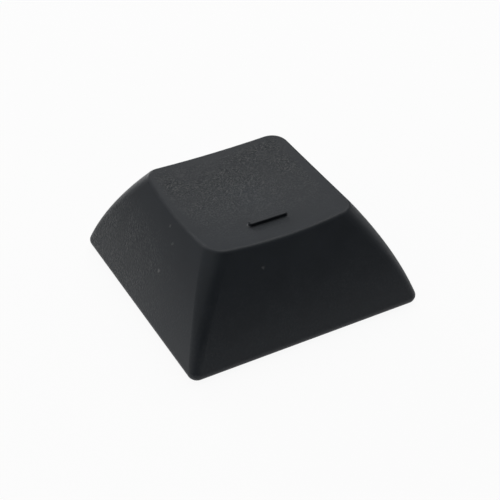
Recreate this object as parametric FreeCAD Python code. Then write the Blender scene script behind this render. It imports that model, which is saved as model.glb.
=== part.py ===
"""One-unit keycap with a dished top, bowed flanks, a homing bar and a cross socket underneath.

Millimetres. The origin is the middle of the rim's plane, +Z is up, and the homing bar is towards -Y.
"""
import FreeCAD, Part
import math
import os

from FreeCAD import Vector

# Outside: a square cap that leans inwards on all four sides
base_width = 18.4           # across the flanks at the rim, before its edge is rounded
height = 7.4                # from the rim to the plane that the dish is sunk into
top_width = 11.17           # across the flanks at that plane
flank_radius = 22.0         # outward bow of each flank, seen from the side
rim_corner_radius = 0.6     # the upright corners are tight at the rim
top_corner_radius = 1.7     # and open out towards the top
rim_edge_radius = 0.5       # outer edge that the cap stands on

# Top: a shallow round dish for the fingertip
dish_depth = 0.61           # lowest point of the dish below the plane of the top
dish_radius = 43.5
top_edge_radius = 0.35

# Homing bar: a short raised line near the front of the dish
bar_length = 2.9
bar_width = 0.45
bar_height = 0.31           # above the dish, at the middle of the bar
bar_inset = 2.0             # from the front edge of the top to the front of the bar
bar_shift = 0.2             # the bar lies a little to the left of the middle
bar_corner_radius = 0.15    # upright corners
bar_edge_radius = 0.1       # upper edge
bar_root_radius = 0.12      # blend into the dish

# Hollow: a shell with a flat ceiling, open at the rim
wall = 1.35
roof = 1.5                  # thinnest plastic between the ceiling and the dish
hollow_corner_radius = 1.0
ceiling_edge_radius = 0.5   # where the ceiling meets the walls

# Stem: a round post with a cross-shaped socket for the key switch
socket_arm = 4.1            # length of both arms
socket_slot_x = 1.3         # width of the arm along X
socket_slot_y = 1.15        # width of the arm along Y
socket_lead_in = 0.2        # bevel round the mouth
socket_floor = 2.2          # plastic left between the socket and the dish
stem_wall = 0.6             # thinnest plastic around the socket
stem_recess = 0.5           # the post stops short of the rim's plane

# Derived places
dish_bottom = height - dish_depth
dish_centre = Vector(0, 0, dish_bottom + dish_radius)
bar_middle = top_width / 2 - bar_inset - bar_width / 2
ceiling = dish_bottom - roof
socket_end = dish_bottom - socket_floor
stem_radius = math.hypot(socket_arm, max(socket_slot_x, socket_slot_y)) / 2 + stem_wall
spare = 1.0                 # how far a blank runs past the face that cuts it
touching = 1e-4             # two places closer than this are the same


def dish_level(distance):
    """Height of the dish at a distance from the middle of the cap."""
    return dish_centre.z - math.sqrt(dish_radius ** 2 - distance ** 2)


def flank_centre():
    """Centre, in a side view, of the arc that runs from the rim to the edge of the top."""
    rim = Vector(base_width / 2, 0, 0)
    chord = Vector(top_width / 2, 0, height) - rim
    inward = Vector(-chord.z, 0, chord.x).normalize()
    reach = math.sqrt(flank_radius ** 2 - (chord.Length / 2) ** 2)
    return rim + chord * 0.5 + inward * reach


def flank_block(inset, block_height):
    """Square block between four bowed flanks, each set in from the outside by the same amount."""
    centre = flank_centre()
    radius = flank_radius - inset

    def half_width(level):
        return centre.x + math.sqrt(radius ** 2 - (level - centre.z) ** 2)

    levels = (0, block_height / 2, block_height)
    right = [Vector(half_width(level), -base_width, level) for level in levels]
    left = [Vector(-point.x, point.y, point.z) for point in right]
    section = Part.Wire([
        Part.LineSegment(left[0], right[0]).toShape(),
        Part.Arc(*right).toShape(),
        Part.LineSegment(right[2], left[2]).toShape(),
        Part.Arc(*reversed(left)).toShape(),
    ])
    along_y = Part.Face(section).extrude(Vector(0, 2 * base_width, 0))
    along_x = along_y.copy()
    along_x.rotate(Vector(), Vector(0, 0, 1), 90)
    return along_y.common(along_x).Solids[0]


def round_ridges(block, rim_radius, top_radius):
    """Round the four upright ridges, from one radius at the rim to another at the top."""
    def climb(edge):
        return edge.valueAt(edge.LastParameter).z - edge.valueAt(edge.FirstParameter).z

    def is_ridge(edge):
        on_diagonal = all(abs(abs(v.X) - abs(v.Y)) < touching for v in edge.Vertexes)
        return on_diagonal and abs(climb(edge)) > touching

    for upward in (True, False):
        edges = [edge for edge in block.Edges if is_ridge(edge) and (climb(edge) > 0) == upward]
        radii = (rim_radius, top_radius) if upward else (top_radius, rim_radius)
        if edges:
            block = block.makeFillet(*radii, edges)
    return block


def dish_ball():
    """Ball that cuts the dish, with its poles to the sides and its seam on top."""
    ball = Part.makeSphere(dish_radius)
    ball.rotate(Vector(), Vector(0, 1, 0), -90)
    ball.translate(dish_centre)
    return ball


def dish_face(shape):
    """The face of the dish."""
    return next(face for face in shape.Faces
                if isinstance(face.Surface, Part.Sphere) and face.Surface.Center.isEqual(dish_centre, touching))


def make_body():
    """Solid outside form: bowed flanks with rounded ridges and rim, and a dished top with a soft edge."""
    blank_height = dish_level(top_width / math.sqrt(2)) + spare
    body = round_ridges(flank_block(0, blank_height), rim_corner_radius, top_corner_radius)
    rim = next(face for face in body.Faces if face.BoundBox.ZMax < touching)
    body = body.makeFillet(rim_edge_radius, rim.Edges)
    body = body.cut(dish_ball())
    return body.makeFillet(top_edge_radius, dish_face(body).OuterWire.Edges)


def add_bar(body):
    """Raise the homing bar out of the dish, with soft edges and a blended root."""
    foot = dish_bottom - roof / 2
    crown = dish_level(bar_middle) + bar_height
    corner = Vector(-bar_shift - bar_length / 2, -bar_middle - bar_width / 2, foot)
    bar = Part.makeBox(bar_length, bar_width, crown - foot, corner)
    bar = bar.makeFillet(bar_corner_radius, [edge for edge in bar.Edges if edge.BoundBox.ZLength > touching])
    upper_face = next(face for face in bar.Faces if face.BoundBox.ZMin > crown - touching)
    joined = body.fuse(bar.makeFillet(bar_edge_radius, upper_face.Edges))
    dish = dish_face(joined)
    root = next(wire for wire in dish.Wires if not wire.isSame(dish.OuterWire))
    return joined.makeFillet(bar_root_radius, root.Edges)


def make_hollow():
    """Space under the roof, round the stem."""
    space = round_ridges(flank_block(wall, ceiling), hollow_corner_radius, hollow_corner_radius)
    upper_face = next(face for face in space.Faces if face.BoundBox.ZMin > ceiling - touching)
    space = space.makeFillet(ceiling_edge_radius, upper_face.Edges)
    return space.cut(Part.makeCylinder(stem_radius, height, Vector(0, 0, stem_recess)))


def socket_slot(length_x, length_y):
    """One arm of the socket, flared at its mouth."""
    def outline(grow, level):
        x = length_x / 2 + grow
        y = length_y / 2 + grow
        corners = [Vector(-x, -y, level), Vector(x, -y, level), Vector(x, y, level), Vector(-x, y, level)]
        return Part.makePolygon(corners + corners[:1])

    slot = Part.Face(outline(0, stem_recess)).extrude(Vector(0, 0, socket_end - stem_recess))
    mouth = Part.makeLoft([outline(socket_lead_in, stem_recess),
                           outline(0, stem_recess + socket_lead_in)], True, True)
    return slot.fuse(mouth)


def make_socket():
    """Cross of two slots, cut up into the stem."""
    return socket_slot(socket_arm, socket_slot_x).fuse(socket_slot(socket_slot_y, socket_arm))


def make_keycap():
    """The whole cap, as it leaves the mould."""
    cap = add_bar(make_body())
    return cap.cut([make_hollow(), make_socket()]).Solids[0]


keycap = make_keycap()
os.makedirs("parts", exist_ok=True)
keycap.exportStep("parts/keycap.step")
print("keycap", keycap.ShapeType, "valid", keycap.isValid(), "volume", round(keycap.Volume, 2))
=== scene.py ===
"""Studio scene of a blank one-unit keycap: its moulded plastic, the light, the floor and the camera."""
import math

import bpy
from bpy.props import FloatProperty, FloatVectorProperty, PointerProperty
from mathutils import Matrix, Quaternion, Vector

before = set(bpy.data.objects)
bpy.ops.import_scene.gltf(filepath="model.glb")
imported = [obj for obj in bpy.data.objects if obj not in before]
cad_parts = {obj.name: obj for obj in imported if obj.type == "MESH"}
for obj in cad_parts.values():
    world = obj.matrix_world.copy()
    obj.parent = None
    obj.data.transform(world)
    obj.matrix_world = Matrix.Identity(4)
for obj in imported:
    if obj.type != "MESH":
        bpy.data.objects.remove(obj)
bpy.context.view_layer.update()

bl_info = {
    "name": "Keycap",
    "version": (1, 0, 0),
    "blender": (4, 5, 0),
    "location": "3D View > Sidebar > Keycap",
    "description": "Gives a moulded keycap its plastic and sets up its studio",
    "category": "Object",
}

MILLIMETRES = 1000.0            # in a metre
NOISE_MIDDLE = 0.5              # what a noise comes to on average
NOISE_ROUGHNESS = 0.55

# Places on the cap in millimetres. A pair says where a mask starts to rise and where it is full.
FLANK_LEAN = 0.49               # how far the flanks lean in for each millimetre of height
MIDDLE_OF_WALL = (8.2, 8.6)     # from the middle of the cap, brought down to the rim along that lean
MIDDLE_OF_ROOF = (5.8, 6.2)     # height
DISH_BORDER = (5.5, 4.5)        # from the middle of the cap
FLANK_GRAIN = (6.8, 3.2)        # height
RUBBED_FRONT = (-5.0, 3.0)      # from the front to the back
BACK_RIGHT = (0.0, 1.5)         # place to the right and place to the back, added
FLANK_FROM_DISH = (5.0, 6.0)    # from the middle of the cap
PALE_MIDDLE = (0.0, 0.1, 6.8)
PALE_REACH = (2.6, 0.6)         # from that place

# Clouds, which make the grain, the colour and the roughness uneven
CLOUD_SCALE = 0.5               # to a millimetre
CLOUD_DETAIL = 4.0
CLOUD_GRAIN = (0.38, 0.58)
CLOUD_COLOUR = (0.3, 0.7)
CLOUD_ROUGHNESS = 0.12

# Grain with a painted glint on its peaks, and how much of it is left where it is weakest
GRAIN_DETAIL = 2.0
# Grain heights that get the painted glint, and the share of that glint taken off on the back and right
# flanks
GRAIN_GLINT_RANGE = (-0.1, 0.25)
GLINTS_LOST = 0.7                 # on the back and right flanks
GRAIN_ON_FLANKS = 0.8
GRAIN_AT_FRONT = 0.1
GRAIN_BETWEEN_CLOUDS = 0.4
GRAIN_IN_HOLLOW = 0.25

# Shades of the plastic's own colour
DARK_SHADE = 0.9
PALE_SHADE = 1.3
PALE_OUTSIDE_DISH = 0.35

# Specks of dust: place on the cap and radius in millimetres, and how much each one hides
DUST = (
    ((-2.34, -6.64, 5.86), 0.14, 0.45),
    ((-7.70, -1.33, 3.95), 0.17, 0.9),
    ((-6.18, -0.25, 6.56), 0.15, 0.40),
    ((-6.58, -1.41, 5.95), 0.16, 0.40),
)
DUST_CORE = 0.4                 # share of the radius that is fully covered
DUST_RAGGED = 0.2               # how far the outline of a speck wanders, in millimetres
DUST_RAGGED_SCALE = 6.0
DUST_RAGGED_DETAIL = 1.0
DUST_ROUGHNESS = 0.3

# Softboxes: turn from the front towards the right and rise above the floor in degrees, width in metres
# and strength
SOFTBOXES = (
    ("back_low", 180, 12, 0.18, 0.66),
    ("back_right", 135, 32, 0.25, 0.11),
    ("back_right_high", 135, 58, 0.32, 0.93),
    ("right_low", 90, 12, 0.18, 0.19),
    ("front_right", 45, 32, 0.25, 0.07),
    ("left_low", -90, 12, 0.18, 0.11),
    ("left_high", -90, 58, 0.40, 0.46),
    ("back_left", -135, 32, 0.35, 0.20),
)

# Floor
PAPER = (0.9, 0.9, 0.9, 1.0)
WHITE = (1.0, 1.0, 1.0, 1.0)
WHITE_SHARE = 0.93              # the rest is paper, which takes the shadow
FLOOR_SIDES = 64

# Camera
SENSOR_WIDTH = 36.0             # millimetres
NEAREST = 0.005                 # metres
FARTHEST = 10.0


class Strand:
    """A socket in a material, with arithmetic that adds nodes."""

    def __init__(self, tree, socket=None):
        self.tree = tree
        self.socket = socket

    def node(self, kind, settings=None, inputs=None, output=0):
        """Add a node, make its settings, feed its sockets and give back one of its outputs."""
        made = self.tree.nodes.new("ShaderNode" + kind)
        for name, value in (settings or {}).items():
            setattr(made, name, value)
        for name, value in (inputs or {}).items():
            if isinstance(value, Strand):
                self.tree.links.new(value.socket, made.inputs[name])
            else:
                made.inputs[name].default_value = value
        return Strand(self.tree, made.outputs[output] if made.outputs else None)

    def outputs(self, *names):
        """Other outputs of the node that this socket belongs to."""
        return [Strand(self.tree, self.socket.node.outputs[name]) for name in names]

    def math(self, operation, first, second=0.0):
        return self.node("Math", {"operation": operation}, {0: first, 1: second})

    def larger(self, other):
        return self.math("MAXIMUM", self, other)

    def distance(self, centre):
        """How far this place is from another."""
        return self.node("VectorMath", {"operation": "DISTANCE"}, {0: self, 1: centre}, "Value")

    def ease(self, low, high):
        """Smooth rise from 0 at one level to 1 at another."""
        return self.node("MapRange", {"interpolation_type": "SMOOTHSTEP"},
                         {"Value": self, "From Min": low, "From Max": high})

    def lifted(self, least):
        """This share, raised so that it starts from some least value."""
        return least + (1.0 - least) * self

    def blend(self, first, second):
        """Colour between two others, with this value as the share of the second."""
        return self.node("Mix", {"data_type": "RGBA"}, {"Factor": self, "A": first, "B": second}, "Result")

    def __abs__(self):
        return self.math("ABSOLUTE", self)

    def __add__(self, other):
        return self.math("ADD", self, other)

    def __sub__(self, other):
        return self.math("SUBTRACT", self, other)

    def __rsub__(self, other):
        return self.math("SUBTRACT", other, self)

    def __mul__(self, other):
        return self.math("MULTIPLY", self, other)

    __radd__ = __add__
    __rmul__ = __mul__


def fresh_material(name):
    """An empty material and the strand that its nodes start from."""
    material = bpy.data.materials.new(name)
    material.use_nodes = True
    material.node_tree.nodes.clear()
    return material, Strand(material.node_tree)


def opaque(colour, shade=1.0):
    """A colour for a socket, darker or lighter by a shade."""
    return tuple(shade * part for part in colour) + (1.0,)


def noise(place, scale, detail):
    """Soft cloudy value from 0 to 1."""
    return place.node("TexNoise", {"noise_dimensions": "3D"}, {
        "Vector": place, "Scale": scale, "Detail": detail, "Roughness": NOISE_ROUGHNESS})


def dust_cover(place):
    """How much of the plastic the specks of dust hide."""
    wander = place.node("TexNoise", {}, {
        "Vector": place, "Scale": DUST_RAGGED_SCALE, "Detail": DUST_RAGGED_DETAIL}, "Color")
    ragged_place = place.node("VectorMath", {"operation": "MULTIPLY_ADD"}, {
        0: wander, 1: (DUST_RAGGED,) * 3, 2: place})
    cover = None
    for centre, radius, hiding in DUST:
        shifted = tuple(part + NOISE_MIDDLE * DUST_RAGGED for part in centre)
        speck = ragged_place.distance(shifted).ease(radius, DUST_CORE * radius) * hiding
        cover = speck if cover is None else cover.larger(speck)
    return cover


def grain_strength(across, y, z, cloud):
    """Patchy strength of the grain: full in the dish and low on the flanks, weak at the front."""
    dish = across.ease(*DISH_BORDER) * z.ease(*MIDDLE_OF_ROOF)
    form = (GRAIN_ON_FLANKS * z.ease(*FLANK_GRAIN)).larger(dish)
    patches = cloud.ease(*CLOUD_GRAIN).lifted(GRAIN_BETWEEN_CLOUDS)
    return form * y.ease(*RUBBED_FRONT).lifted(GRAIN_AT_FRONT) * patches


def moulded_plastic(settings):
    """Black plastic with the fine grain of its mould, smoother at the front, a painted glint on the grain's
    peaks, and a few specks of dust.
    """
    material, start = fresh_material("moulded_plastic")
    metres = start.node("TexCoord", output="Object")
    place = start.node("VectorMath", {"operation": "SCALE"}, {0: metres, "Scale": MILLIMETRES})
    x, y, z = start.node("SeparateXYZ", {}, {"Vector": place}).outputs("X", "Y", "Z")

    # The outside is past the middle of the wall, or above the middle of the roof
    across = abs(x).larger(abs(y))
    outside = (across + FLANK_LEAN * z).ease(*MIDDLE_OF_WALL).larger(z.ease(*MIDDLE_OF_ROOF))

    cloud = noise(place, CLOUD_SCALE, CLOUD_DETAIL)
    strength = grain_strength(across, y, z, cloud)
    grain = noise(place, 1.0 / (MILLIMETRES * settings.grain_size), GRAIN_DETAIL) - NOISE_MIDDLE
    height = grain * strength * outside.lifted(GRAIN_IN_HOLLOW)
    bump = start.node("Bump", {}, {"Strength": 1.0, "Distance": settings.grain_depth, "Height": height})

    # The middle of the dish is a little paler than the rest, and the peaks of the grain carry a painted
    # glint, paler still
    pale_part = place.distance(PALE_MIDDLE).ease(*PALE_REACH).lifted(PALE_OUTSIDE_DISH)
    pale = cloud.ease(*CLOUD_COLOUR) * pale_part
    plastic = pale.blend(opaque(settings.colour, DARK_SHADE), opaque(settings.colour, PALE_SHADE))
    glints = grain.ease(*GRAIN_GLINT_RANGE) * strength * outside
    # Fewer painted glints on the back and right flanks
    turned_away = (x + y).ease(*BACK_RIGHT) * across.ease(*FLANK_FROM_DISH)
    glints = glints * (1.0 - GLINTS_LOST * turned_away)
    plastic = glints.blend(plastic, opaque(settings.tip_glint_colour))
    dust = dust_cover(place)

    surface = start.node("BsdfPrincipled", {}, {
        "Base Color": dust.blend(plastic, opaque(settings.dust_colour)),
        "Roughness": settings.roughness + CLOUD_ROUGHNESS * (cloud - NOISE_MIDDLE) + DUST_ROUGHNESS * dust,
        "Specular IOR Level": settings.gloss,
        "Normal": bump,
    })
    start.node("OutputMaterial", {}, {"Surface": surface})
    return material


class PlasticSettings(bpy.types.PropertyGroup):
    """Look of the cap's plastic."""
    colour: FloatVectorProperty(
        name="Colour", description="Colour of the plastic", subtype="COLOR", size=3, min=0, max=1,
        default=(0.0196, 0.0237, 0.0292))
    roughness: FloatProperty(
        name="Roughness", description="How matt the plastic is", subtype="FACTOR", min=0, max=1, default=0.5)
    gloss: FloatProperty(
        name="Gloss", description="Strength of the plastic's own reflection", subtype="FACTOR", min=0, max=1,
        default=0.25)
    grain_size: FloatProperty(
        name="Grain size", description="Width of one grain of the moulded texture", unit="LENGTH",
        precision=6, default=0.00016)
    grain_depth: FloatProperty(
        name="Grain depth", description="Depth of the moulded texture", unit="LENGTH",
        precision=6, default=0.00013)
    # Colour of the painted glint on the grain's peaks
    tip_glint_colour: FloatVectorProperty(
        name="Grain tips", description="Colour of the tips of the grain", subtype="COLOR", size=3,
        min=0, max=1, default=(0.088, 0.092, 0.091))
    dust_colour: FloatVectorProperty(
        name="Dust", description="Colour of the specks of dust", subtype="COLOR", size=3, min=0, max=1,
        default=(0.14, 0.14, 0.14))


class StudioSettings(bpy.types.PropertyGroup):
    """Floor, light and camera."""
    floor_radius: FloatProperty(
        name="Floor radius", description="Radius of the round white floor", unit="LENGTH", default=2.0)
    light: FloatProperty(
        name="Light", description="Power of a softbox whose strength is 1", unit="POWER", min=0, default=1.0)
    light_distance: FloatProperty(
        name="Light distance", description="From the softboxes to the cap", unit="LENGTH", default=0.45)
    azimuth: FloatProperty(
        name="Azimuth", description="Turn of the camera from the front towards the right", subtype="ANGLE",
        default=math.radians(-27.906))
    elevation: FloatProperty(
        name="Elevation", description="Rise of the camera above the floor", subtype="ANGLE",
        default=math.radians(37.503))
    roll: FloatProperty(
        name="Roll", description="Tilt of the camera about its own axis", subtype="ANGLE",
        default=math.radians(-0.545))
    distance: FloatProperty(
        name="Distance", description="From the camera to the point it looks at", unit="LENGTH",
        default=0.09372)
    target: FloatVectorProperty(
        name="Target", description="Point that the camera looks at", subtype="XYZ", unit="LENGTH", size=3,
        precision=5, default=(-0.000189, -0.000695, 0.002555))
    lens: FloatProperty(
        name="Lens", description="Focal length on a 36 mm sensor", unit="CAMERA", default=93.188)


def white_floor(radius):
    """Round white floor that keeps a soft shadow."""
    material, start = fresh_material("white_floor")
    camera_ray, glossy_ray, clear_ray = start.node("LightPath").outputs(
        "Is Camera Ray", "Is Glossy Ray", "Is Transmission Ray")
    paper = start.node("BsdfDiffuse", {}, {"Color": PAPER})
    white = start.node("Emission", {}, {"Color": WHITE, "Strength": 1.0})
    seen = (camera_ray + glossy_ray + clear_ray) * WHITE_SHARE
    surface = start.node("MixShader", {}, {0: seen, 1: paper, 2: white})
    start.node("OutputMaterial", {}, {"Surface": surface})

    turns = [math.tau * i / FLOOR_SIDES for i in range(FLOOR_SIDES)]
    corners = [(radius * math.cos(turn), radius * math.sin(turn), 0.0) for turn in turns]
    mesh = bpy.data.meshes.new("floor")
    mesh.from_pydata(corners, [], [tuple(range(FLOOR_SIDES))])
    mesh.materials.append(material)
    floor = bpy.data.objects.new("floor", mesh)
    bpy.context.scene.collection.objects.link(floor)


def direction(turn, rise):
    """The way out from the cap at a turn from the front towards the right and a rise above the floor."""
    return Vector((math.sin(turn) * math.cos(rise), -math.cos(turn) * math.cos(rise), math.sin(rise)))


def add_facing(name, data, spot, way, roll=0.0):
    """Add a lamp or a camera that stands at a spot and looks back along the way out to it."""
    holder = bpy.data.objects.new(name, data)
    holder.location = spot
    holder.rotation_mode = "QUATERNION"
    holder.rotation_quaternion = (-way).to_track_quat("-Z", "Y") @ Quaternion((0, 0, 1), roll)
    bpy.context.scene.collection.objects.link(holder)
    return holder


def add_lights(settings):
    """Square softboxes all round the cap, and no light from the sky."""
    for name, turn, rise, size, strength in SOFTBOXES:
        lamp = bpy.data.lights.new(name, "AREA")
        lamp.shape = "SQUARE"
        lamp.size = size
        lamp.energy = strength * settings.light
        way = direction(math.radians(turn), math.radians(rise))
        add_facing(name, lamp, way * settings.light_distance, way)
    sky = bpy.data.worlds.new("dark_sky")
    sky.use_nodes = True
    sky.node_tree.nodes["Background"].inputs["Strength"].default_value = 0.0
    bpy.context.scene.world = sky


def add_camera(settings):
    """Camera at the photograph's viewing angle."""
    lens = bpy.data.cameras.new("camera")
    lens.sensor_width = SENSOR_WIDTH
    lens.lens = settings.lens
    lens.clip_start = NEAREST
    lens.clip_end = FARTHEST
    way = direction(settings.azimuth, settings.elevation)
    spot = Vector(settings.target) + way * settings.distance
    bpy.context.scene.camera = add_facing("camera", lens, spot, way, settings.roll)


class KEYCAP_OT_dress(bpy.types.Operator):
    """Give the cap its moulded plastic"""
    bl_idname = "keycap.dress"
    bl_label = "Dress the cap"

    def execute(self, context):
        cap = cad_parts["keycap"]
        cap.material_slots[0].material = moulded_plastic(context.scene.keycap_plastic)
        return {"FINISHED"}


class KEYCAP_OT_stage(bpy.types.Operator):
    """Set up the floor, the light and the camera"""
    bl_idname = "keycap.stage"
    bl_label = "Set up the studio"

    def execute(self, context):
        settings = context.scene.keycap_studio
        white_floor(settings.floor_radius)
        add_lights(settings)
        add_camera(settings)
        context.scene.view_settings.view_transform = "Standard"
        return {"FINISHED"}


class KEYCAP_PT_studio(bpy.types.Panel):
    """Steps that make the scene"""
    bl_label = "Keycap"
    bl_idname = "KEYCAP_PT_studio"
    bl_space_type = "VIEW_3D"
    bl_region_type = "UI"
    bl_category = "Keycap"

    def draw(self, context):
        self.layout.operator(KEYCAP_OT_dress.bl_idname)
        self.layout.operator(KEYCAP_OT_stage.bl_idname)


CLASSES = (PlasticSettings, StudioSettings, KEYCAP_OT_dress, KEYCAP_OT_stage, KEYCAP_PT_studio)


def register():
    for made in CLASSES:
        bpy.utils.register_class(made)
    bpy.types.Scene.keycap_plastic = PointerProperty(type=PlasticSettings)
    bpy.types.Scene.keycap_studio = PointerProperty(type=StudioSettings)


def unregister():
    del bpy.types.Scene.keycap_studio
    del bpy.types.Scene.keycap_plastic
    for made in reversed(CLASSES):
        bpy.utils.unregister_class(made)


def main():
    register()
    bpy.ops.keycap.dress()
    bpy.ops.keycap.stage()


if __name__ == "__main__":
    main()
